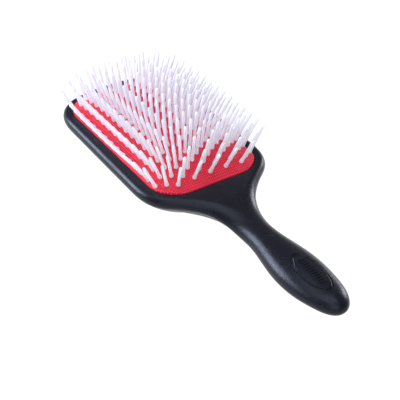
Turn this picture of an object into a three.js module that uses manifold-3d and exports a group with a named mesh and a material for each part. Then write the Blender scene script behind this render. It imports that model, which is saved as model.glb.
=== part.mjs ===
// Cushioned paddle hairbrush: a one-piece moulded frame and handle, a domed rubber
// cushion clipped into the head, and thirteen nylon pin strips pushed through the
// cushion from behind. Millimetres, +Z up. The brush lies on its back with its pins up,
// its head towards +Y and its handle towards -Y. The origin is at the middle of its
// length and width, on the surface that it lies on.

import * as THREE from 'three';
import { mergeVertices } from 'three/addons/utils/BufferGeometryUtils.js';
import Module from 'manifold-3d';

const wasm = await Module();
wasm.setup();

// ---------------------------------------------------------------- driving dimensions

const LENGTH = 250; // head end to handle end
const HEAD_HALF_WIDTH = 42.2; // at its widest, next to the shoulders
const HEAD_TAPER = 0.9; // narrower by this at the far corners
const NECK_HALF_WIDTH = 9.2;
const GRIP_HALF_WIDTH = 14;
const GRIP_WIDEST_Y = -89;
const RIM_Z = 18; // flat rim of the head above the surface
const EDGE_RADIUS = 4.1; // full-round edge of the head

const PAD_CENTRE_Y = 54.8;
const PAD_HALF_WIDTH = 34.9;
const PAD_HALF_LENGTH = 61.4;
const PAD_CORNER_RADIUS = 17.5;
const DOME_HEIGHT = 10.2;
const DOME_POWER_X = 2.34; // fullness of the dome across the head
const DOME_POWER_Y = 3.94; // and along it
const PAD_THICKNESS = 1.8;
const CLEARANCE = 0.3; // between pieces that touch

const COLUMNS = 13;
const COLUMN_PITCH = 5.39;
const HALF_STEP = 3.645; // half of the pin spacing within a column
const LONG_COLUMN_PINS = 16; // the middle column and those level with its ends
const PIN_LENGTH = 19.6; // above the cushion
const PIN_BASE_RADIUS = 1.05;
const PIN_TIP_RADIUS = 0.72;
const PIN_SIDES = 5;
const PIN_HOLE_RADIUS = 1.5;
const PIN_LEAN_ACROSS = 1.25; // the pins' lean to the sides, per unit of the cushion's slope
const PIN_LEAN_ALONG = 0.8; // and their lean towards the head's two ends
const PIN_END_LEAN = 0.4; // further lean along the brush, reached at the cushion's ends
const PIN_END_POWER = 6; // how closely that lean keeps to the ends
const BAR_WIDTH = 2.6;
const BAR_END = 1.3; // bar beyond its last pin
const BAR_THICKNESS = 1.4;
const BAR_GAP = 0.5; // between the bars and the underside of the cushion

const LIP_DEPTH = 1.6; // frame lip that holds the cushion's bead down
const GROOVE_REACH = 2; // how far the groove runs outwards under the lip
const GROOVE_BOTTOM = 4;
const LEDGE_REACH = 1.5; // ledge under the bead, inwards
const RECESS_WALL_BOTTOM = 8.5;
const RECESS_FLOOR = 13;
const RECESS_FLOOR_INSET = 9;

const BADGE_CENTRE_Y = -97;
const BADGE_HALF_LENGTH = 15.7;
const BADGE_HALF_WIDTH = 6.9;
const BADGE_GROOVE_RADIUS = 0.45;

const END_Y = LENGTH / 2;
const SHOULDER_Y = 20; // the head's straight sides end here
const HANDLE_FROM_Y = -8; // the head's section starts to turn into the handle's here
const HANDLE_TO_Y = -44; // and has done so here
const HEAD_SPINE_Y = END_Y - HEAD_HALF_WIDTH; // the skin's loops close in on this spine
const GRIP_SPINE_Y = -END_Y + 11;
const SPINE_SHARE = 0.985; // no loop reaches further than this share of the way to it

const OUTLINE_STEPS = 6; // points on each curve of an outline
const SIDE_STEP = 14; // greatest distance between points on the cushion's straight sides
const WELD = 1e-4; // points nearer than this are one point

// -------------------------------------------------------------------------- helpers

const smooth = THREE.MathUtils.smoothstep;
const lerp = THREE.MathUtils.lerp;

// A value along the brush that eases from station to station: [[y, value], ...], y rising.
function eased(stations, y) {
  let value = stations[0][1];
  for (let k = 1; k < stations.length; k++) {
    const [y0] = stations[k - 1];
    const [y1, next] = stations[k];
    value = lerp(value, next, smooth(y, y0, y1));
  }
  return value;
}

// One closed solid from a list of triangles of points, with its faces pointing out.
function solidFrom(triangles) {
  const raw = new THREE.BufferGeometry();
  const numbers = triangles.flatMap((t) => t.flatMap((p) => [p.x, p.y, p.z]));
  raw.setAttribute('position', new THREE.Float32BufferAttribute(numbers, 3));
  const merged = mergeVertices(raw, WELD);
  const index = merged.index.array;
  const kept = [];
  for (let k = 0; k < index.length; k += 3) {
    const [a, b, c] = index.slice(k, k + 3);
    if (a !== b && b !== c && c !== a) kept.push(a, b, c);
  }
  const at = (n) => new THREE.Vector3().fromBufferAttribute(merged.attributes.position, n);
  let volume = 0;
  for (let k = 0; k < kept.length; k += 3) {
    volume += at(kept[k]).dot(at(kept[k + 1]).cross(at(kept[k + 2])));
  }
  if (volume < 0) kept.reverse();
  merged.setIndex(kept);
  return merged;
}

// Triangles between neighbouring loops of equal length, each loop closed on itself.
function loft(loops) {
  const triangles = [];
  for (let k = 1; k < loops.length; k++) {
    const [low, high] = [loops[k - 1], loops[k]];
    for (let n = 0; n < low.length; n++) {
      const m = (n + 1) % low.length;
      triangles.push([low[n], low[m], high[m]], [low[n], high[m], high[n]]);
    }
  }
  return triangles;
}

// Triangles that close one loop, seen from above, or from below when flipped.
function cap(loop, flip) {
  const flat = loop.map((p) => new THREE.Vector2(p.x, p.y));
  const faces = THREE.ShapeUtils.triangulateShape(flat, []);
  return faces.map((face) => {
    const corners = face.map((n) => loop[n]);
    return flip ? corners.reverse() : corners;
  });
}

// Triangles of a flat outline with holes, with diagonals swapped until none is a sliver
// that could be better cut the other way.
function evenTriangles(outline, holes) {
  const points = [...outline, ...holes.flat()];
  const faces = THREE.ShapeUtils.triangulateShape(outline, holes);
  const angleAt = (apex, a, b) => {
    const [u, v] = [points[a].clone().sub(points[apex]), points[b].clone().sub(points[apex])];
    return Math.atan2(Math.abs(u.cross(v)), u.dot(v));
  };
  const MOST_PASSES = 40;
  const LEAST_GAIN = 1e-6; // radians
  for (let pass = 0, swapped = true; swapped && pass < MOST_PASSES; pass++) {
    swapped = false;
    const owners = new Map();
    const changed = new Set();
    for (let f = 0; f < faces.length; f++) {
      for (let k = 0; k < 3 && !changed.has(f); k++) {
        const [a, b, c] = [faces[f][k], faces[f][(k + 1) % 3], faces[f][(k + 2) % 3]];
        const other = owners.get(`${b},${a}`);
        owners.set(`${a},${b}`, { f, c });
        if (!other || changed.has(other.f)) continue;
        const d = other.c;
        if (angleAt(c, a, b) + angleAt(d, a, b) < Math.PI + LEAST_GAIN) continue;
        faces[f] = [a, d, c];
        faces[other.f] = [d, b, c];
        changed.add(f).add(other.f);
        swapped = true;
      }
    }
  }
  return faces;
}

function toManifold(geometry) {
  const bare = geometry.clone();
  bare.deleteAttribute('normal');
  bare.deleteAttribute('uv');
  const merged = mergeVertices(bare, WELD);
  return new wasm.Manifold(new wasm.Mesh({
    numProp: 3,
    vertProperties: new Float32Array(merged.attributes.position.array),
    triVerts: new Uint32Array(merged.index.array),
  }));
}

function fromManifold(solid) {
  const { vertProperties, triVerts } = solid.getMesh();
  const geometry = new THREE.BufferGeometry();
  geometry.setAttribute('position', new THREE.Float32BufferAttribute(vertProperties, 3));
  geometry.setIndex([...triVerts]);
  return geometry;
}

// ------------------------------------------------------------------ the dome surface

// Height of the cushion above the rim at a point measured from the cushion's centre.
function domeHeight(x, y) {
  const across = 1 - Math.abs(x / PAD_HALF_WIDTH) ** DOME_POWER_X;
  const along = 1 - Math.abs(y / PAD_HALF_LENGTH) ** DOME_POWER_Y;
  return DOME_HEIGHT * Math.max(across, 0) * Math.max(along, 0);
}

// The direction in which a pin stands at that point. The pins fan out from the middle.
function pinDirection(x, y) {
  const step = 0.01;
  const slopeX = (domeHeight(x + step, y) - domeHeight(x - step, y)) / (2 * step);
  const slopeY = (domeHeight(x, y + step) - domeHeight(x, y - step)) / (2 * step);
  const endLean = PIN_END_LEAN * Math.sign(y) * (y / PAD_HALF_LENGTH) ** PIN_END_POWER;
  const lean = [-PIN_LEAN_ACROSS * slopeX, -PIN_LEAN_ALONG * slopeY + endLean];
  return new THREE.Vector3(...lean, 1).normalize();
}

// A point above or below the cushion's outer surface, along the pins' direction.
function onDome(x, y, above) {
  const point = new THREE.Vector3(x, y, domeHeight(x, y));
  return point.addScaledVector(pinDirection(x, y), above);
}

function place(point) {
  return point.clone().add(new THREE.Vector3(0, PAD_CENTRE_Y, RIM_Z));
}

// Pin positions along a column, counted from the middle one. Neighbouring columns are
// staggered by half a step, and the four outer columns on each side shorten by steps.
function pinRows(column) {
  const shortening = Math.max(0, Math.abs(column) - 4);
  const longest = LONG_COLUMN_PINS - 1;
  const reach = longest - shortening;
  const rows = [];
  for (let row = -reach; row <= reach; row++) {
    if ((row + column + longest) % 2 === 0) rows.push(row * HALF_STEP);
  }
  return rows;
}

// --------------------------------------------------------------------- handle frame

// One side of the brush's outline in plan, from the head's end to the handle's end.
function sideOutline() {
  const path = new THREE.Path();
  const near = HEAD_HALF_WIDTH;
  const far = HEAD_HALF_WIDTH - HEAD_TAPER;
  path.moveTo(0, END_Y);
  path.bezierCurveTo(14, END_Y, 24, 122.8, 30.3, 118.6);
  path.bezierCurveTo(37, 114, far - 0.2, 107, far, 95);
  path.lineTo(near, SHOULDER_Y);
  path.bezierCurveTo(near + 0.2, 6.4, 40.2, -0.8, 32.4, -7.3);
  path.bezierCurveTo(25.4, -13, 19.2, -17.9, 15.1, -24.5);
  path.bezierCurveTo(11.1, -32, NECK_HALF_WIDTH, -40, NECK_HALF_WIDTH, -50);
  path.bezierCurveTo(NECK_HALF_WIDTH, -63, GRIP_HALF_WIDTH, -73, GRIP_HALF_WIDTH, GRIP_WIDEST_Y);
  path.bezierCurveTo(GRIP_HALF_WIDTH, -105, 9.8, -END_Y, 0, -END_Y);
  return path.getPoints(OUTLINE_STEPS);
}

// Heights along the brush, all measured from the rim: the widest line of the section,
// its top and its underside.
const EQUATOR = [[-120, -9.8], [-92, -11.2], [-50, -10.6], [-4, -EDGE_RADIUS]];
const CREST = [[-116, -3.8], [-88, -1.9], [-48, -3.2], [-8, 0]];
const BELLY = [[-116, -16.2], [-92, -RIM_Z], [-80, -RIM_Z], [-38, -15.4], [8, -RIM_Z]];
const equator = (y) => eased(EQUATOR, y);
const crest = (y) => eased(CREST, y);
const belly = (y) => eased(BELLY, y);
const grip = (y) => 1 - smooth(y, HANDLE_TO_Y, HANDLE_FROM_Y); // 0 on the head, 1 on the handle

// The frame's outer skin: loops that run round the outline and close in on the spine.
function frameSkin() {
  const right = sideOutline();
  const left = right.slice(1, -1).reverse().map((p) => new THREE.Vector2(-p.x, p.y));
  const outline = [...right, ...left];
  const rays = outline.map((p, n) => {
    const before = outline[(n + outline.length - 1) % outline.length];
    const after = outline[(n + 1) % outline.length];
    const along = after.clone().sub(before).normalize();
    const spine = new THREE.Vector2(0, THREE.MathUtils.clamp(p.y, GRIP_SPINE_Y, HEAD_SPINE_Y));
    const ray = spine.clone().sub(p);
    const reach = ray.length();
    ray.normalize();
    const square = Math.max(0.5, Math.abs(ray.cross(along)));
    return { p, spine, ray, reach, square };
  });
  const loop = (inset, height) => rays.map(({ p, ray, reach, square, spine }) => {
    const y = Math.abs(p.y) > Math.abs(spine.y) ? spine.y : p.y;
    const facing = lerp(square, 1, grip(y));
    const far = Math.min(inset(y, reach * facing) / facing, SPINE_SHARE * reach);
    return new THREE.Vector3(p.x + ray.x * far, p.y + ray.y * far, RIM_Z + height(y));
  });
  const spineLoop = (height) => rays.map(({ spine }) => (
    new THREE.Vector3(0, spine.y, RIM_Z + height(spine.y))
  ));

  const loops = [spineLoop(belly)];
  const flare = Math.PI / 4; // the edge turns this far before the back flattens out
  const flareInset = EDGE_RADIUS * (1 - Math.cos(flare));
  const flareDepth = EDGE_RADIUS * (1 + Math.sin(flare));
  const backDrop = RIM_Z - flareDepth;
  const backRun = 2 * backDrop; // a parabola of slope 1 that ends level
  const under = (turn, u) => {
    const edgeInset = EDGE_RADIUS * (1 - Math.cos(turn * flare));
    const headDepth = turn < 1
      ? EDGE_RADIUS * (1 + Math.sin(turn * flare))
      : flareDepth + backRun * (u - u * u / 2);
    const angle = Math.PI / 2 * (turn < 1 ? turn / 3 : (1 + 2 * u) / 3);
    const inset = (y, reach) => {
      const headInset = edgeInset + Math.min(backRun, SPINE_SHARE * reach - flareInset) * u;
      return lerp(headInset, reach * (1 - Math.cos(angle)), grip(y));
    };
    const handleHeight = (y) => lerp(equator(y), belly(y), Math.sin(angle));
    return loop(inset, (y) => lerp(-headDepth, handleHeight(y), grip(y)));
  };
  for (const u of [1, 0.75, 0.5, 0.25, 0]) loops.push(under(1, u));
  loops.push(under(0.5, 0));
  for (const turn of [0, 1 / 4, 1 / 2, 3 / 4, 1]) {
    const angle = Math.PI / 2 * turn;
    const inset = (y, reach) => lerp(EDGE_RADIUS, reach, grip(y)) * (1 - Math.cos(angle));
    loops.push(loop(inset, (y) => lerp(equator(y), crest(y), Math.sin(angle))));
  }
  loops.push(spineLoop(crest));
  return solidFrom(loft(loops));
}

// A rounded rectangle centred on the cushion, larger or smaller than it by an offset.
function padOutline(offset) {
  const shape = new THREE.Path();
  const w = PAD_HALF_WIDTH + offset;
  const l = PAD_HALF_LENGTH + offset;
  const r = PAD_CORNER_RADIUS + offset;
  const quarter = Math.PI / 2;
  shape.absarc(w - r, l - r, r, 0, quarter, false);
  shape.absarc(-w + r, l - r, r, quarter, 2 * quarter, false);
  shape.absarc(-w + r, -l + r, r, 2 * quarter, 3 * quarter, false);
  shape.absarc(w - r, -l + r, r, 3 * quarter, 4 * quarter, false);
  const points = shape.getPoints(OUTLINE_STEPS);
  const split = []; // the long straight sides take a few points of their own
  points.forEach((p, n) => {
    split.push(p);
    const next = points[(n + 1) % points.length];
    const parts = Math.ceil(p.distanceTo(next) / SIDE_STEP);
    for (let k = 1; k < parts; k++) split.push(p.clone().lerp(next, k / parts));
  });
  return split.filter((p, n) => p.distanceTo(split[(n + 1) % split.length]) > WELD);
}

// The space cut out of the head: lip opening, groove, ledge and hollow floor.
function recess() {
  const ABOVE_RIM = 2; // the cut runs on past the rim
  const level = (offset, z) => (
    padOutline(offset).map((p) => place(new THREE.Vector3(p.x, p.y, z)))
  );
  const loops = [
    level(-RECESS_FLOOR_INSET, -RECESS_FLOOR),
    level(-LEDGE_REACH, -RECESS_WALL_BOTTOM),
    level(-LEDGE_REACH, -GROOVE_BOTTOM),
    level(GROOVE_REACH, -GROOVE_BOTTOM),
    level(GROOVE_REACH, -LIP_DEPTH),
    level(0, -LIP_DEPTH),
    level(0, ABOVE_RIM),
  ];
  return solidFrom([...cap(loops[0], true), ...loft(loops), ...cap(loops.at(-1), false)]);
}

// The oval line round the blank badge on top of the grip, as a ring laid on the crown.
function badgeRing() {
  const STEPS = 28;
  const SIDES = 4;
  const topAt = (x, y) => {
    const towardsEnd = Math.min(y - GRIP_WIDEST_Y, 0) / (END_Y + GRIP_WIDEST_Y);
    const halfWidth = GRIP_HALF_WIDTH * Math.sqrt(1 - towardsEnd ** 2);
    const rise = Math.sqrt(1 - (x / halfWidth) ** 2);
    return RIM_Z + lerp(equator(y), crest(y), rise);
  };
  const loops = [];
  for (let n = 0; n <= STEPS; n++) {
    const a = (n / STEPS) * 2 * Math.PI;
    const [cos, sin] = [Math.cos(a), Math.sin(a)];
    const [x, y] = [BADGE_HALF_WIDTH * cos, BADGE_CENTRE_Y + BADGE_HALF_LENGTH * sin];
    const out = new THREE.Vector3(cos / BADGE_HALF_WIDTH, sin / BADGE_HALF_LENGTH, 0).normalize();
    const centre = new THREE.Vector3(x, y, topAt(x, y));
    const section = [];
    for (let k = 0; k < SIDES; k++) {
      const b = (k / SIDES) * 2 * Math.PI;
      const point = centre.clone().addScaledVector(out, BADGE_GROOVE_RADIUS * Math.cos(b));
      point.z += BADGE_GROOVE_RADIUS * Math.sin(b);
      section.push(point);
    }
    loops.push(section);
  }
  return solidFrom(loft(loops));
}

function handleFrame() {
  const body = toManifold(frameSkin());
  const hollowed = body.subtract(toManifold(recess()));
  return fromManifold(hollowed.subtract(toManifold(badgeRing())));
}

// ---------------------------------------------------------------------- cushion pad

// A ring of points in plan, the first one towards the head's end.
function ringOf(x, y, radius, sides) {
  const ring = [];
  for (let k = 0; k < sides; k++) {
    const a = (k / sides + 1 / 4) * 2 * Math.PI;
    ring.push(new THREE.Vector2(x + radius * Math.cos(a), y + radius * Math.sin(a)));
  }
  return ring;
}

// A thin domed shell with a hole for each pin, and a bead round its edge that sits in
// the frame's groove.
function cushionPad() {
  const edge = padOutline(-CLEARANCE);
  const innerEdge = padOutline(-LEDGE_REACH);
  const holes = [];
  for (const column of columnNumbers()) {
    for (const y of pinRows(column)) {
      holes.push(ringOf(column * COLUMN_PITCH, y, PIN_HOLE_RADIUS, PIN_SIDES).reverse());
    }
  }
  const faces = evenTriangles(edge, holes);
  const flat = [...edge, ...holes.flat()];
  const top = flat.map((p) => onDome(p.x, p.y, 0));
  const bottom = flat.map((p, n) => {
    if (n >= edge.length) return onDome(p.x, p.y, -PAD_THICKNESS);
    const q = innerEdge[n];
    return new THREE.Vector3(q.x, q.y, Math.min(domeHeight(q.x, q.y) - PAD_THICKNESS, 0));
  });

  const triangles = [];
  for (const [a, b, c] of faces) {
    triangles.push([top[a], top[b], top[c]], [bottom[c], bottom[b], bottom[a]]);
  }
  const pick = (list, start, count) => list.slice(start, start + count);
  let start = edge.length;
  for (const hole of holes) {
    triangles.push(...loft([pick(bottom, start, hole.length), pick(top, start, hole.length)]));
    start += hole.length;
  }

  const beadTop = -LIP_DEPTH - CLEARANCE;
  const beadBottom = -GROOVE_BOTTOM + CLEARANCE;
  const beadEdge = padOutline(GROOVE_REACH - CLEARANCE);
  const at = (outline, z) => outline.map((p) => new THREE.Vector3(p.x, p.y, z));
  triangles.push(...loft([
    pick(bottom, 0, edge.length),
    at(innerEdge, beadBottom),
    at(beadEdge, beadBottom),
    at(beadEdge, beadTop),
    at(edge, beadTop),
    pick(top, 0, edge.length),
  ]));
  return solidFrom(triangles.map((t) => t.map(place)));
}

// ----------------------------------------------------------------------- pin strips

function columnNumbers() {
  return Array.from({ length: COLUMNS }, (_, n) => n - (COLUMNS - 1) / 2);
}

// A bar that follows the underside of the cushion, with its pins standing on it. It is
// built bay by bay, one bay to a pin.
function pinStrip(column) {
  const x0 = column * COLUMN_PITCH;
  const rows = pinRows(column);
  const barTop = -PAD_THICKNESS - BAR_GAP;
  const half = BAR_WIDTH / 2;
  const stations = [rows[0] - BAR_END];
  for (let k = 1; k < rows.length; k++) stations.push((rows[k - 1] + rows[k]) / 2);
  stations.push(rows.at(-1) + BAR_END);

  // A point of the bar: u across it, y along it, at a depth below the cushion's surface.
  const onBar = ([u, y], above) => {
    const up = pinDirection(x0, y);
    const across = new THREE.Vector3(up.z, 0, -up.x).normalize();
    const point = new THREE.Vector3(x0, y, domeHeight(x0, y));
    return point.addScaledVector(up, above).addScaledVector(across, u);
  };
  const top = (p) => onBar(p, barTop);
  const bottom = (p) => onBar(p, barTop - BAR_THICKNESS);

  const triangles = [];
  const quad = (a, b, c, d) => triangles.push([a, b, c], [a, c, d]);
  rows.forEach((y, n) => {
    const [near, far] = [stations[n], stations[n + 1]];
    const bay = [[half, near], [half, far], [-half, far], [-half, near]];
    const foot = ringOf(0, y, PIN_BASE_RADIUS, PIN_SIDES).reverse().map((p) => p.toArray());
    const flat = [...bay, ...foot];
    const inPlan = (loop) => loop.map(([u, v]) => new THREE.Vector2(u, v));
    const faces = THREE.ShapeUtils.triangulateShape(inPlan(bay), [inPlan(foot)]);
    triangles.push(...faces.map((face) => face.map((k) => top(flat[k]))));
    const [a, b, c, d] = bay;
    quad(bottom(a), bottom(d), bottom(c), bottom(b));
    quad(bottom(a), bottom(b), top(b), top(a));
    quad(bottom(c), bottom(d), top(d), top(c));
    if (n === 0) quad(bottom(d), bottom(a), top(a), top(d));
    if (n === rows.length - 1) quad(bottom(b), bottom(c), top(c), top(b));

    const up = pinDirection(x0, y);
    const across = new THREE.Vector3(up.z, 0, -up.x).normalize();
    const along = new THREE.Vector3().crossVectors(up, across);
    const tip = onBar([0, y], PIN_LENGTH);
    const narrowing = PIN_TIP_RADIUS / PIN_BASE_RADIUS;
    const head = foot.map(([u, v]) => (
      tip.clone().addScaledVector(across, u * narrowing)
        .addScaledVector(along, (v - y) * narrowing)
    ));
    triangles.push(...loft([head, foot.map(top)]));
    triangles.push(...cap(head, false));
  });
  return solidFrom(triangles.map((t) => t.map(place)));
}

// ------------------------------------------------------------------------- assembly

function named(name, geometry, colour, roughness) {
  geometry.computeVertexNormals();
  const material = new THREE.MeshStandardMaterial({ color: colour, roughness, metalness: 0 });
  const mesh = new THREE.Mesh(geometry, material);
  mesh.name = name;
  return mesh;
}

const brush = new THREE.Group();
brush.add(named('handle_frame', handleFrame(), 0x1b1b1f, 0.45));
brush.add(named('cushion_pad', cushionPad(), 0xd81f3f, 0.6));
columnNumbers().forEach((column, n) => {
  const name = `pin_strip_${String(n + 1).padStart(2, '0')}`;
  brush.add(named(name, pinStrip(column), 0xf3f1f8, 0.35));
});

export default brush;
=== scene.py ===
"""The finished look of a cushioned paddle hairbrush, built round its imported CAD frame."""

import math

import bpy
import numpy as np
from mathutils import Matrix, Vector


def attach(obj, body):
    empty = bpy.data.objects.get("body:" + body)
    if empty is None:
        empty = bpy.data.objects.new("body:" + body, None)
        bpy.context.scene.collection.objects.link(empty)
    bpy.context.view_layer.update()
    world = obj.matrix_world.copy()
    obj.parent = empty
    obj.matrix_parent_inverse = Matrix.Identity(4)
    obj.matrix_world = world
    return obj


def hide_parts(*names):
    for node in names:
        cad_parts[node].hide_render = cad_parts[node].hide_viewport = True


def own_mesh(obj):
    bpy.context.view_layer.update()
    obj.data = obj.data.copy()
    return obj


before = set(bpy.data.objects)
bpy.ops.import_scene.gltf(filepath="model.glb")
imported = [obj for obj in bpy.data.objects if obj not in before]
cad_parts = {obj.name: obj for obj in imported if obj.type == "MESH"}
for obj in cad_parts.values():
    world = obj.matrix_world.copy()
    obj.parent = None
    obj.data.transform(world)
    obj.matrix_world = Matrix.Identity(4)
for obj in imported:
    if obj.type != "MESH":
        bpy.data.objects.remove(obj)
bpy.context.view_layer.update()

# ------------------------------------------------------------- driving dimensions, mm
# They repeat those of the CAD part, which is in the same frame.

MM = 0.001
LENGTH = 250
HEAD_HALF_WIDTH = 42.2
HEAD_TAPER = 0.9
NECK_HALF_WIDTH = 9.2
GRIP_HALF_WIDTH = 14
GRIP_WIDEST_Y = -89
RIM_Z = 18  # flat rim of the head above the surface
EDGE_RADIUS = 4.1  # full-round edge of the head

PAD_CENTRE_Y = 54.8
PAD_HALF_WIDTH = 34.9
PAD_HALF_LENGTH = 61.4
PAD_CORNER_RADIUS = 17.5
DOME_HEIGHT = 10.2
DOME_POWER_X = 2.34  # fullness of the dome across the head
DOME_POWER_Y = 3.94  # and along it
PAD_THICKNESS = 1.8
CLEARANCE = 0.3

COLUMNS = 13
COLUMN_PITCH = 5.39
HALF_STEP = 3.645  # half of the pin spacing within a column
LONGEST_REACH = 15  # half-steps from the middle of a long column to its last pin
SHORTER_FROM = 4  # columns further out than this are shorter by a half-step each
PIN_LENGTH = 19.6  # above the cushion
PIN_LEAN_ACROSS = 1.25  # lean to the sides, per unit of the cushion's slope
PIN_LEAN_ALONG = 0.8  # and towards the head's two ends
PIN_END_LEAN = 0.4  # further lean along the brush, reached at the cushion's ends
PIN_END_POWER = 6
HOLE_RADIUS = 1.45
BAR_WIDTH = 2.6
BAR_END = 1.3  # bar beyond its last pin
BAR_THICKNESS = 1.4
BAR_GAP = 0.5  # between the bars and the underside of the cushion
BAR_SOFTENING = 0.35  # chamfer along the bar's edges
BAR_STEPS = 60

LIP_DEPTH = 1.6
LIP_ROUND = 0.45
LIP_STEPS = 5
ABOVE_RIM = 2  # the recess is cut on past the rim
GROOVE_REACH = 2
GROOVE_BOTTOM = 4
LEDGE_REACH = 1.5
RECESS_WALL_BOTTOM = 8.5
RECESS_FLOOR = 13
RECESS_FLOOR_INSET = 9

BADGE_CENTRE_Y = -97
BADGE_HALF_LENGTH = 15.7
BADGE_HALF_WIDTH = 6.9
BADGE_GROOVE_RADIUS = 0.45
BADGE_STEPS = 120
BEAD_INSET = 0.95  # raised bead inside the groove
BEAD_RADIUS = 0.3
RIBS = 11
RIB_PITCH = 1.9
RIB_HALF_LENGTH = 2.4
RIB_RADIUS = 0.34
RIB_STEPS = 9

END_Y = LENGTH / 2
SHOULDER_Y = 20  # the head's straight sides end here
HANDLE_FROM_Y = -8  # the head's section starts to turn into the handle's here
HANDLE_TO_Y = -44  # and has done so here
HEAD_SPINE_Y = END_Y - HEAD_HALF_WIDTH  # the skin's loops close in on this spine
GRIP_SPINE_Y = -END_Y + 11
SPINE_SHARE = 0.985  # no loop reaches further than this share of the way to it
BACK_SHARE = 0.98  # and the back flattens out within this share
UNDER_STEPS = 15
TOP_STEPS = 15

# ---------------------------------------------------------------------- mesh helpers


def mesh_object(name, points, faces):
    """A new object from points in millimetres."""
    mesh = bpy.data.meshes.new(name)
    mesh.from_pydata([tuple(MM * float(c) for c in p) for p in points], [], faces)
    obj = bpy.data.objects.new(name, mesh)
    bpy.context.scene.collection.objects.link(obj)
    return obj


def combined(target, tool, operation):
    """The target with the tool cut from it or added to it. The tool is used up."""
    modifier = target.modifiers.new("combine", "BOOLEAN")
    modifier.operation = operation
    modifier.solver = "MANIFOLD"
    modifier.object = tool
    depsgraph = bpy.context.evaluated_depsgraph_get()
    result = bpy.data.meshes.new_from_object(target.evaluated_get(depsgraph))
    target.modifiers.clear()
    target.data = result
    bpy.data.objects.remove(tool)
    return target


def shaded(obj, crease_degrees):
    """Smooth faces, with a crease where two meet at more than this angle."""
    obj.data.shade_smooth()
    obj.data.set_sharp_from_angle(angle=math.radians(crease_degrees))
    return obj


def loft(loops, close_start=True, close_end=True):
    """Points and faces of a skin through closed loops of equal length, with flat ends."""
    count = len(loops[0])
    points = [p for loop in loops for p in loop]
    faces = []
    for k in range(len(loops) - 1):
        for n in range(count):
            m = (n + 1) % count
            a, b = k * count, (k + 1) * count
            faces.append((a + n, a + m, b + m, b + n))
    if close_start:
        faces.append(tuple(range(count))[::-1])
    if close_end:
        faces.append(tuple(range(len(points) - count, len(points))))
    return points, faces


def merged_shapes(shapes):
    """Points and faces of several shapes as one."""
    points, faces = [], []
    for more_points, more_faces in shapes:
        start = len(points)
        points += list(more_points)
        faces += [tuple(start + n for n in face) for face in more_faces]
    return points, faces


def welded(points, faces, digits=4):
    """The same shape with equal points made one, and collapsed faces left out."""
    index, kept, where = {}, [], []
    for p in points:
        key = tuple(round(float(c), digits) + 0.0 for c in p)
        if key not in index:
            index[key] = len(kept)
            kept.append(p)
        where.append(index[key])
    clean = []
    for face in faces:
        ring = []
        for n in (where[n] for n in face):
            if not ring or ring[-1] != n:
                ring.append(n)
        if len(ring) > 1 and ring[0] == ring[-1]:
            ring.pop()
        if len(set(ring)) >= 3:
            clean.append(tuple(ring))
    return kept, clean


def facing_out(points, faces):
    """The faces turned so that a closed shape's volume is positive."""
    volume = 0
    for face in faces:
        a = np.array(points[face[0]], float)
        for k in range(1, len(face) - 1):
            volume += a @ np.cross(points[face[k]], points[face[k + 1]])
    return faces if volume > 0 else [face[::-1] for face in faces]


def smoothstep(value, low, high):
    t = np.clip((value - low) / (high - low), 0, 1)
    return t * t * (3 - 2 * t)


def mix(a, b, share):
    return a + (b - a) * share


def eased(stations, y):
    """A value along the brush that eases from station to station, y rising."""
    value = np.full_like(y, stations[0][1], dtype=float)
    for (y0, _), (y1, after) in zip(stations, stations[1:]):
        value = mix(value, after, smoothstep(y, y0, y1))
    return value


# ------------------------------------------------------------------ the dome surface


def dome_height(x, y):
    across = np.maximum(1 - np.abs(x / PAD_HALF_WIDTH) ** DOME_POWER_X, 0)
    along = np.maximum(1 - np.abs(y / PAD_HALF_LENGTH) ** DOME_POWER_Y, 0)
    return DOME_HEIGHT * across * along


def pin_direction(x, y):
    """The way a pin stands at that point. The pins fan out from the middle."""
    step = 0.01
    slope_x = (dome_height(x + step, y) - dome_height(x - step, y)) / (2 * step)
    slope_y = (dome_height(x, y + step) - dome_height(x, y - step)) / (2 * step)
    end_lean = PIN_END_LEAN * math.copysign((y / PAD_HALF_LENGTH) ** PIN_END_POWER, y)
    lean_along = end_lean - PIN_LEAN_ALONG * slope_y
    return Vector((-PIN_LEAN_ACROSS * slope_x, lean_along, 1)).normalized()


def on_dome(x, y, above):
    """A point along the pins' direction from the cushion's outer surface."""
    surface = Vector((x, y + PAD_CENTRE_Y, RIM_Z + float(dome_height(x, y))))
    return surface + above * pin_direction(x, y)


def pin_rows(column):
    """Pin positions along a column. Neighbouring columns are staggered."""
    reach = LONGEST_REACH - max(0, abs(column) - SHORTER_FROM)
    return [
        row * HALF_STEP
        for row in range(-reach, reach + 1)
        if (row + column + LONGEST_REACH) % 2 == 0
    ]


COLUMN_NUMBERS = range(-(COLUMNS // 2), COLUMNS // 2 + 1)

# ---------------------------------------------------------------------- handle frame


def bezier(start, first, second, end, steps):
    t = np.linspace(0, 1, steps + 1)[1:, None]
    a, b, c, d = (np.array(p, float) for p in (start, first, second, end))
    return (1 - t) ** 3 * a + 3 * (1 - t) ** 2 * t * b + 3 * (1 - t) * t * t * c + t ** 3 * d


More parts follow.
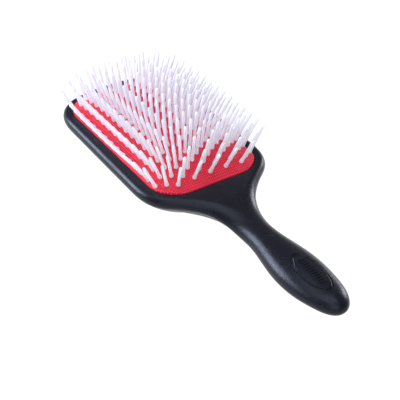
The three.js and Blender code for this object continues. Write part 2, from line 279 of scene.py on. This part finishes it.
def side_outline():
    """One side of the brush in plan, from the head's end to the handle's end."""
    near, far = HEAD_HALF_WIDTH, HEAD_HALF_WIDTH - HEAD_TAPER
    neck, grip = NECK_HALF_WIDTH, GRIP_HALF_WIDTH
    parts = [
        [(14, END_Y), (24, 122.8), (30.3, 118.6), 18],
        [(37, 114), (far - 0.2, 107), (far, 95), 20],
        [(far + 0.3, 70), (near - 0.3, 45), (near, SHOULDER_Y), 34],
        [(near + 0.2, 6.4), (40.2, -0.8), (32.4, -7.3), 24],
        [(25.4, -13), (19.2, -17.9), (15.1, -24.5), 20],
        [(11.1, -32), (neck, -40), (neck, -50), 20],
        [(neck, -63), (grip, -73), (grip, GRIP_WIDEST_Y), 26],
        [(grip, -105), (9.8, -END_Y), (0, -END_Y), 36],
    ]
    points = [np.array([(0, END_Y)], float)]
    for first, second, end, steps in parts:
        points.append(bezier(points[-1][-1], first, second, end, steps))
    return np.vstack(points)


def equator(y):
    return eased([(-120, -9.8), (-92, -11.2), (-50, -10.6), (-4, -EDGE_RADIUS)], y)


def crest(y):
    return eased([(-116, -3.8), (-88, -1.9), (-48, -3.2), (-8, 0)], y)


def belly(y):
    return eased([(-116, -16.2), (-92, -RIM_Z), (-80, -RIM_Z), (-38, -15.4), (8, -RIM_Z)], y)


def grip_share(y):
    """0 on the head, 1 on the handle."""
    return 1 - smoothstep(y, HANDLE_TO_Y, HANDLE_FROM_Y)


def frame_skin():
    """The frame's outer skin: loops that run round the outline and close in on the spine."""
    right = side_outline()
    left = right[1:-1][::-1] * (-1, 1)
    outline = np.vstack([right, left])
    along = np.roll(outline, -1, 0) - np.roll(outline, 1, 0)
    along /= np.linalg.norm(along, axis=1)[:, None]
    spine = np.stack([
        np.zeros(len(outline)), np.clip(outline[:, 1], GRIP_SPINE_Y, HEAD_SPINE_Y)
    ], 1)
    ray = spine - outline
    reach = np.linalg.norm(ray, axis=1)
    ray /= reach[:, None]
    square = np.maximum(0.5, np.abs(ray[:, 0] * along[:, 1] - ray[:, 1] * along[:, 0]))
    beyond = np.abs(outline[:, 1]) > np.abs(spine[:, 1])
    y = np.where(beyond, spine[:, 1], outline[:, 1])
    share = grip_share(y)
    facing = mix(square, 1, share)

    def loop(inset, height):
        far = np.minimum(inset / facing, SPINE_SHARE * reach)
        plan = outline + ray * far[:, None]
        return np.column_stack([plan, RIM_Z + height])

    def spine_loop(height):
        return np.column_stack([spine, RIM_Z + height])

    flare = math.pi / 4  # the edge turns this far before the back flattens out
    flare_inset = EDGE_RADIUS * (1 - math.cos(flare))
    flare_depth = EDGE_RADIUS * (1 + math.sin(flare))
    back_run = 2 * (RIM_Z - flare_depth)  # a parabola of slope 1 that ends level

    def under(turn, u):
        edge_inset = EDGE_RADIUS * (1 - math.cos(turn * flare))
        head_depth = (
            EDGE_RADIUS * (1 + math.sin(turn * flare)) if turn < 1
            else flare_depth + back_run * (u - u * u / 2)
        )
        angle = math.pi / 2 * (turn / 3 if turn < 1 else (1 + 2 * u) / 3)
        room = np.minimum(back_run, BACK_SHARE * reach * facing - flare_inset)
        grip_inset = reach * facing * (1 - math.cos(angle))
        inset = mix(edge_inset + room * u, grip_inset, share)
        grip_height = mix(equator(y), belly(y), math.sin(angle))
        return loop(inset, mix(-head_depth, grip_height, share))

    loops = [spine_loop(belly(spine[:, 1]))]
    loops += [under(1, u) for u in np.linspace(1, 0, UNDER_STEPS)]
    loops += [under(turn, 0) for turn in (0.8, 0.6, 0.4, 0.2)]
    for turn in np.linspace(0, 1, TOP_STEPS):
        angle = math.pi / 2 * turn
        inset = mix(EDGE_RADIUS, reach * facing, share) * (1 - math.cos(angle))
        loops.append(loop(inset, mix(equator(y), crest(y), math.sin(angle))))
    loops.append(spine_loop(crest(spine[:, 1])))
    points, faces = welded(*loft(loops, False, False))
    return points, facing_out(points, faces)


def pad_outline(offset, corner_steps=20, side_step=2.5):
    """A rounded rectangle centred on the cushion, larger or smaller by an offset."""
    w, l = PAD_HALF_WIDTH + offset, PAD_HALF_LENGTH + offset
    r = PAD_CORNER_RADIUS + offset
    points = []
    corners = [(1, 1, 0), (-1, 1, 1), (-1, -1, 2), (1, -1, 3)]
    side_parts = [
        round(2 * (PAD_HALF_WIDTH - PAD_CORNER_RADIUS) / side_step),
        round(2 * (PAD_HALF_LENGTH - PAD_CORNER_RADIUS) / side_step),
    ]
    for k, (sx, sy, quarter) in enumerate(corners):
        centre = np.array([sx * (w - r), sy * (l - r)])
        for n in range(corner_steps + 1):
            a = math.pi / 2 * (quarter + n / corner_steps)
            points.append(centre + r * np.array([math.cos(a), math.sin(a)]))
        nx, ny, _ = corners[(k + 1) % 4]
        a = math.pi / 2 * (quarter + 1)
        end = np.array([nx * (w - r), ny * (l - r)]) + r * np.array([math.cos(a), math.sin(a)])
        parts = side_parts[k % 2]
        start = points[-1]
        points += [mix(start, end, n / parts) for n in range(1, parts)]
    return np.array(points)


def at_height(outline, z):
    """An outline round the cushion's centre, placed at a height above the rim."""
    heights = np.full(len(outline), RIM_Z + z)
    return np.column_stack([outline[:, 0], outline[:, 1] + PAD_CENTRE_Y, heights])


def recess():
    """The space cut out of the head: rounded lip, groove, ledge and hollow floor."""
    levels = [
        (-RECESS_FLOOR_INSET, -RECESS_FLOOR),
        (-LEDGE_REACH, -RECESS_WALL_BOTTOM),
        (-LEDGE_REACH, -GROOVE_BOTTOM),
        (GROOVE_REACH, -GROOVE_BOTTOM),
        (GROOVE_REACH, -LIP_DEPTH),
        (0, -LIP_DEPTH),
    ]
    for n in range(LIP_STEPS + 1):
        a = math.pi / 2 * n / LIP_STEPS
        levels.append((LIP_ROUND * (1 - math.cos(a)), LIP_ROUND * (math.sin(a) - 1)))
    levels.append((LIP_ROUND, ABOVE_RIM))
    points, faces = loft([at_height(pad_outline(offset), z) for offset, z in levels])
    return points, facing_out(points, faces)


def crown_height(x, y):
    """Height of the handle's top surface."""
    towards_end = min(y - GRIP_WIDEST_Y, 0) / (END_Y + GRIP_WIDEST_Y)
    half_width = GRIP_HALF_WIDTH * math.sqrt(1 - towards_end ** 2)
    y = np.array(float(y))
    return RIM_Z + float(mix(equator(y), crest(y), math.sqrt(1 - (x / half_width) ** 2)))


def tube(path, radius, closed, sides=10):
    """Points and faces of a tube along a path that lies on the handle's crown."""
    end_taper = 0.4
    loops = []
    count = len(path)
    for n, p in enumerate(path):
        before = path[(n - 1) % count] if closed or n else path[0]
        after = path[(n + 1) % count] if closed or n < count - 1 else path[-1]
        along = (after - before).normalized()
        out = along.cross(Vector((0, 0, 1))).normalized()
        up = out.cross(along)
        taper = 1 if closed or 0 < n < count - 1 else end_taper
        loops.append([
            p + taper * radius * (math.cos(a) * out + math.sin(a) * up)
            for a in (2 * math.pi * k / sides for k in range(sides))
        ])
    if closed:
        loops.append(loops[0])
    points, faces = loft(loops, not closed, not closed)
    points, faces = welded(points, faces)
    return points, facing_out(points, faces)


def badge_oval(inset, radius):
    """A tube along the badge's oval, or along one that lies inside it."""
    path = []
    for n in range(BADGE_STEPS):
        a = 2 * math.pi * n / BADGE_STEPS
        x = (BADGE_HALF_WIDTH - inset) * math.cos(a)
        y = BADGE_CENTRE_Y + (BADGE_HALF_LENGTH - inset) * math.sin(a)
        path.append(Vector((x, y, crown_height(x, y))))
    return tube(path, radius, True)


def badge_relief():
    """A raised bead inside the oval groove, round a row of plain short ribs."""
    shapes = [badge_oval(BEAD_INSET, BEAD_RADIUS)]
    for k in range(RIBS):
        y = BADGE_CENTRE_Y + (k - (RIBS - 1) / 2) * RIB_PITCH
        xs = np.linspace(-RIB_HALF_LENGTH, RIB_HALF_LENGTH, RIB_STEPS)
        path = [Vector((x, y, crown_height(x, y))) for x in xs]
        shapes.append(tube(path, RIB_RADIUS, False))
    return merged_shapes(shapes)


# ---------------------------------------------------------------------- cushion pad

PAD_SPINE_Y = PAD_HALF_LENGTH - PAD_HALF_WIDTH


def pad_shell():
    """The cushion as a closed shell: dome, underside and the bead round its edge."""
    edge = pad_outline(-CLEARANCE)
    spine = np.stack([np.zeros(len(edge)), np.clip(edge[:, 1], -PAD_SPINE_Y, PAD_SPINE_Y)], 1)
    near_edge = [0, 0.01, 0.025, 0.05]  # the dome rises fastest here
    shares = near_edge + list(np.linspace(0.08, 1, 26))
    tops, bottoms = [], []
    for share in shares:
        plan = mix(edge, spine, share)
        tops.append([tuple(on_dome(x, y, 0)) for x, y in plan])
        inner = mix(pad_outline(-LEDGE_REACH), spine, share)
        height = dome_height(inner[:, 0], inner[:, 1]) - PAD_THICKNESS
        height = np.minimum(height, 0) if share == 0 else height
        bottoms.append(np.column_stack([inner[:, 0], inner[:, 1] + PAD_CENTRE_Y, RIM_Z + height]))
    bead_edge = pad_outline(GROOVE_REACH - CLEARANCE)
    inner_edge = pad_outline(-LEDGE_REACH)
    bead_bottom, bead_top = -GROOVE_BOTTOM + CLEARANCE, -LIP_DEPTH - CLEARANCE
    loops = bottoms[::-1] + [
        at_height(inner_edge, bead_bottom),
        at_height(bead_edge, bead_bottom),
        at_height(bead_edge, bead_top),
        at_height(edge, bead_top),
    ] + tops
    points, faces = welded(*loft(loops, False, False))
    return points, facing_out(points, faces)


def revolved(centre, direction, profile, sides):
    """A solid of revolution from (height, radius) pairs along a direction."""
    across = Vector((direction.z, 0, -direction.x)).normalized()
    along = direction.cross(across)
    loops = []
    for height, radius in profile:
        middle = centre + height * direction
        loops.append([
            middle + radius * (math.cos(a) * across + math.sin(a) * along)
            for a in (2 * math.pi * k / sides for k in range(sides))
        ])
    points, faces = loft(loops)
    return points, facing_out(points, faces)


def pad_holes():
    """Round cutters that reach from above the cushion to well below it."""
    profile = [(-2.6 * PAD_THICKNESS, HOLE_RADIUS), (PAD_THICKNESS, HOLE_RADIUS)]
    sides = 16
    shapes = []
    for column in COLUMN_NUMBERS:
        for y in pin_rows(column):
            x = column * COLUMN_PITCH
            shapes.append(revolved(on_dome(x, y, 0), pin_direction(x, y), profile, sides))
    return merged_shapes(shapes)


# --------------------------------------------------------------------------- pins

# (height above the cushion, radius): foot in the bar, swollen root, slim shaft.
FOOT_DEPTH = 0.6
SHAFT = [
    (-PAD_THICKNESS - BAR_GAP - FOOT_DEPTH, 1.15), (-0.6, 1.25), (0.1, 1.36), (0.8, 1.34),
    (1.5, 1.2), (2.2, 1.08), (3.2, 1.01), (5.0, 0.98), (8.0, 0.98), (11.5, 0.98),
    (15.0, 0.98), (17.4, 0.96), (18.5, 0.9),
]
TIP_RADIUS = 0.78
PIN_SIDES = 14


def pin_profile():
    """The pin's outline, ending in a round tip."""
    tip = [
        (PIN_LENGTH - TIP_RADIUS * (1 - math.sin(a)), TIP_RADIUS * math.cos(a))
        for a in (math.radians(d) for d in (0, 25, 48, 68, 84))
    ]
    return SHAFT + tip


def strip_bar(column):
    """A bar that follows the underside of the cushion."""
    x = column * COLUMN_PITCH
    rows = pin_rows(column)
    stations = np.linspace(rows[0] - BAR_END, rows[-1] + BAR_END, BAR_STEPS)
    top = -PAD_THICKNESS - BAR_GAP
    half, low, soft = BAR_WIDTH / 2, top - BAR_THICKNESS, BAR_SOFTENING
    section = [
        (half - soft, top), (half, top - soft), (half, low + soft), (half - soft, low),
        (-half + soft, low), (-half, low + soft), (-half, top - soft), (-half + soft, top),
    ]
    loops = []
    for y in stations:
        up = pin_direction(x, y)
        across = Vector((up.z, 0, -up.x)).normalized()
        foot = on_dome(x, y, 0)
        loops.append([foot + u * across + v * up for u, v in section])
    points, faces = loft(loops)
    return points, facing_out(points, faces)


def pin_strip(number, column):
    """One column's bar with its pins standing on it."""
    name = f"pin_strip_{number:02d}"
    strip = mesh_object(f"nylon_strip_{number:02d}", *strip_bar(column))
    x = column * COLUMN_PITCH
    pins = [
        revolved(on_dome(x, y, 0), pin_direction(x, y), pin_profile(), PIN_SIDES)
        for y in pin_rows(column)
    ]
    combined(strip, mesh_object("pins", *merged_shapes(pins)), "UNION")
    shaded(strip, crease_degrees=50)
    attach(strip, "pins")
    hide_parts(name)
    return strip


# ------------------------------------------------------------------------- materials


class Surface:
    """A Principled material and the nodes that feed it."""

    def __init__(self, name, **settings):
        self.material = bpy.data.materials.new(name)
        self.material.use_nodes = True
        self.tree = self.material.node_tree
        self.shader = self.tree.nodes["Principled BSDF"]
        for socket, value in settings.items():
            self.shader.inputs[socket.replace("_", " ")].default_value = value
        self.place = self.tree.nodes.new("ShaderNodeTexCoord").outputs["Object"]

    def node(self, kind, **inputs):
        """A new node. An input is a number, a colour or another node's output.

        Inputs go by name, or by place as i0, i1 and so on.
        """
        node = self.tree.nodes.new("ShaderNode" + kind)
        for name, value in inputs.items():
            key = int(name[1:]) if name[0] == "i" and name[1:].isdigit() else name
            self.feed(node.inputs[key], value)
        return node

    def feed(self, socket, value):
        """Link another node's output to a socket, or set the socket to a constant."""
        if isinstance(value, bpy.types.NodeSocket):
            self.tree.links.new(value, socket)
        else:
            socket.default_value = value

    def math(self, operation, *values):
        node = self.node("Math")
        node.operation = operation
        for socket, value in zip(node.inputs, values):
            self.feed(socket, value)
        return node.outputs[0]

    def noise(self, size_mm, detail=2.0, distortion=0.0, stretch=None):
        """Noise with features of about this size."""
        place = self.place
        if stretch:
            scaled = self.node("VectorMath", i0=place, i1=stretch)
            scaled.operation = "MULTIPLY"
            place = scaled.outputs[0]
        node = self.node(
            "TexNoise", Vector=place, Scale=1 / (size_mm * MM), Detail=detail,
            Distortion=distortion,
        )
        return node.outputs["Fac"]

    def between(self, value, low, high, low_to=0.0, high_to=1.0):
        """The value stretched so that low and high become two others."""
        node = self.node("MapRange", Value=value)
        node.inputs["From Min"].default_value = low
        node.inputs["From Max"].default_value = high
        node.inputs["To Min"].default_value = low_to
        node.inputs["To Max"].default_value = high_to
        return node.outputs["Result"]

    def blend(self, share, first, second):
        """A colour between two others."""
        node = self.node("Mix")
        node.data_type = "RGBA"
        self.feed(node.inputs["Factor"], share)
        self.feed(node.inputs[6], first)
        self.feed(node.inputs[7], second)
        return node.outputs[2]

    def bump(self, height, depth_mm, onto=None):
        """A normal for this relief, laid over another normal if there is one."""
        node = self.node("Bump", Height=height, Strength=1.0, Distance=depth_mm * MM)
        if onto is not None:
            self.feed(node.inputs["Normal"], onto)
        return node.outputs["Normal"]

    def set(self, **inputs):
        """Feed the shader's own sockets, with _ for a space in their names."""
        for name, value in inputs.items():
            self.feed(self.shader.inputs[name.replace("_", " ")], value)


def rgb(red, green, blue):
    return (red, green, blue, 1.0)


def frame_plastic():
    """Black moulded plastic: fine spark grain, hand-worn satin patches, faint scuffs."""
    s = Surface(
        "frame_plastic", IOR=1.49, Specular_IOR_Level=0.27, Specular_Tint=rgb(0.8, 0.85, 1.0)
    )
    worn = s.between(s.noise(26, 3), 0.35, 0.7)
    scuff = s.between(s.noise(2.4, 4, 0.4, (0.35, 1.0, 1.0)), 0.62, 0.74)
    dust = s.between(s.noise(0.9, 2), 0.7, 0.8)
    base = s.blend(worn, rgb(0.0035, 0.0035, 0.007), rgb(0.006, 0.006, 0.011))
    base = s.blend(s.math("MULTIPLY", scuff, 0.25), base, rgb(0.05, 0.05, 0.055))
    base = s.blend(s.math("MULTIPLY", dust, 0.1), base, rgb(0.12, 0.12, 0.12))
    rough = s.between(worn, 0, 1, 0.36, 0.28)
    rough = s.math("ADD", rough, s.math("MULTIPLY", scuff, 0.08))
    rough = s.math("ADD", rough, s.between(s.noise(1.3, 3), 0.3, 0.7, -0.06, 0.06))
    grain = s.bump(s.noise(1.0, 3), 0.07)
    waves = s.bump(s.noise(9, 1), 0.03, grain)
    s.set(Base_Color=base, Roughness=rough, Normal=waves)
    return s.material


# Spacing of the knurl's dots: four to a column's pitch, five to its pins' pitch.
KNURL_PITCH = (COLUMN_PITCH / 4, 2 * HALF_STEP / 5)


def cushion_rubber():
    """Red rubber with a fine square knurl of paler dots, and patches of slightly differing tone.
    """
    s = Surface("cushion_rubber", IOR=1.5, Specular_IOR_Level=0.35)
    split = s.node("SeparateXYZ", Vector=s.place)
    turns = [2 * math.pi / (pitch * MM) for pitch in KNURL_PITCH]
    waves = [
        s.math("SINE", s.math("MULTIPLY", split.outputs[axis], turn))
        for axis, turn in zip("XY", turns)
    ]
    dots = s.math("MULTIPLY", *(s.between(wave, -0.6, 0.6) for wave in waves))
    patches = s.noise(14, 3)
    speckle = s.noise(0.7, 2)
    base = s.blend(s.between(patches, 0.3, 0.7), rgb(0.7, 0.005, 0.028), rgb(0.88, 0.008, 0.042))
    base = s.blend(s.math("MULTIPLY", dots, 0.9), base, rgb(1.0, 0.1, 0.165))
    base = s.blend(s.between(speckle, 0.3, 0.8, 0, 0.15), base, rgb(0.66, 0.01, 0.035))
    rough = s.between(speckle, 0.2, 0.8, 0.5, 0.66)
    knurl = s.bump(dots, 0.4)
    skin = s.bump(speckle, 0.02, knurl)
    s.set(Base_Color=base, Roughness=rough, Normal=skin)
    return s.material


def pin_nylon():
    """White nylon: slightly translucent, with a faint cool cast and moulding ripple."""
    s = Surface(
        "pin_nylon", IOR=1.5, Specular_IOR_Level=0.18,
        Subsurface_Weight=0.4, Subsurface_Scale=0.0012, Subsurface_Radius=(1.0, 0.9, 1.0),
    )
    cloud = s.noise(5, 3)
    fine = s.noise(0.5, 2)
    base = s.blend(s.between(cloud, 0.3, 0.7), rgb(0.84, 0.85, 0.92), rgb(0.88, 0.885, 0.94))
    rough = s.between(fine, 0.25, 0.75, 0.48, 0.6)
    s.set(Base_Color=base, Roughness=rough, Normal=s.bump(fine, 0.006))
    return s.material


# -------------------------------------------------------------------------- assembly


def painted(obj, material):
    obj.data.materials.clear()
    obj.data.materials.append(material)
    return obj


body = mesh_object("brush_frame", *frame_skin())
combined(body, mesh_object("recess", *recess()), "DIFFERENCE")
combined(body, mesh_object("badge_groove", *badge_oval(0, BADGE_GROOVE_RADIUS)), "DIFFERENCE")
combined(body, mesh_object("badge_relief", *badge_relief()), "UNION")
shaded(painted(body, frame_plastic()), crease_degrees=32)
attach(body, "frame")
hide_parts("handle_frame")

pad = mesh_object("rubber_cushion", *pad_shell())
combined(pad, mesh_object("holes", *pad_holes()), "DIFFERENCE")
shaded(painted(pad, cushion_rubber()), crease_degrees=40)
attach(pad, "frame")
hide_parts("cushion_pad")
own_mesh(pad)

nylon = pin_nylon()
for number, column in enumerate(COLUMN_NUMBERS, 1):
    painted(pin_strip(number, column), nylon)

# ----------------------------------------------------------------- floor, light, camera

FLOOR_HALF = 3.0  # metres
COOL = (0.9, 0.93, 1.0)
COOLER = (0.8, 0.87, 1.0)
LIGHT_AIM = (0, 0.02, 0.02)


def floor():
    corners = [(-1, -1), (1, -1), (1, 1), (-1, 1)]
    plane = mesh_object(
        "floor", [(x * FLOOR_HALF / MM, y * FLOOR_HALF / MM, 0) for x, y in corners],
        [(0, 1, 2, 3)],
    )
    s = Surface(
        "floor_white", Roughness=0.9, Specular_IOR_Level=0.1,
        Emission_Strength=1.0, Emission_Color=rgb(1, 1, 1),
    )
    s.set(Base_Color=s.blend(s.noise(900, 1), rgb(0.14, 0.14, 0.14), rgb(0.17, 0.17, 0.17)))
    painted(plane, s.material)


def soft_light(name, direction, distance, size, power, colour=COOL):
    """A square area light that looks at the brush from a direction. Metres and watts."""
    data = bpy.data.lights.new(name, "AREA")
    data.shape, data.size, data.energy, data.color = "SQUARE", size, power, colour
    lamp = bpy.data.objects.new(name, data)
    towards = Vector(direction).normalized()
    lamp.location = Vector(LIGHT_AIM) + distance * towards
    lamp.rotation_euler = towards.to_track_quat("Z", "Y").to_euler()
    bpy.context.scene.collection.objects.link(lamp)


def camera(azimuth, elevation, aim, distance, lens):
    """Azimuth 0 looks along +Y, in degrees."""
    data = bpy.data.cameras.new("camera")
    data.lens, data.sensor_width = lens, 36
    data.clip_start, data.clip_end = 0.01, 20
    eye = bpy.data.objects.new("camera", data)
    a, e = math.radians(azimuth), math.radians(elevation)
    back = Vector((math.sin(a) * math.cos(e), -math.cos(a) * math.cos(e), math.sin(e)))
    eye.location = Vector(aim) + distance * back
    eye.rotation_euler = back.to_track_quat("Z", "Y").to_euler()
    bpy.context.scene.collection.objects.link(eye)
    bpy.context.scene.camera = eye


def sky(strength):
    world = bpy.data.worlds.new("studio")
    bpy.context.scene.world = world
    world.use_nodes = True
    background = world.node_tree.nodes["Background"]
    background.inputs["Color"].default_value = rgb(*COOL)
    background.inputs["Strength"].default_value = strength


floor()
sky(strength=0.34)
soft_light("overhead", (-0.15, 0.0, 1.0), 1.2, 1.0, 7)
soft_light("left_back", (-0.64, 0.68, 0.36), 1.0, 0.5, 12, colour=COOLER)
soft_light("camera_side", (-0.5, -0.8, 0.62), 1.8, 1.6, 13)
soft_light("right_low", (0.97, 0.23, 0.12), 1.3, 0.4, 5)
camera(
    azimuth=-32.75, elevation=36.28, aim=(-0.0172, -0.0158, 0.018), distance=0.6679,
    lens=107.24,
)
bpy.context.scene.view_settings.view_transform = "Standard"
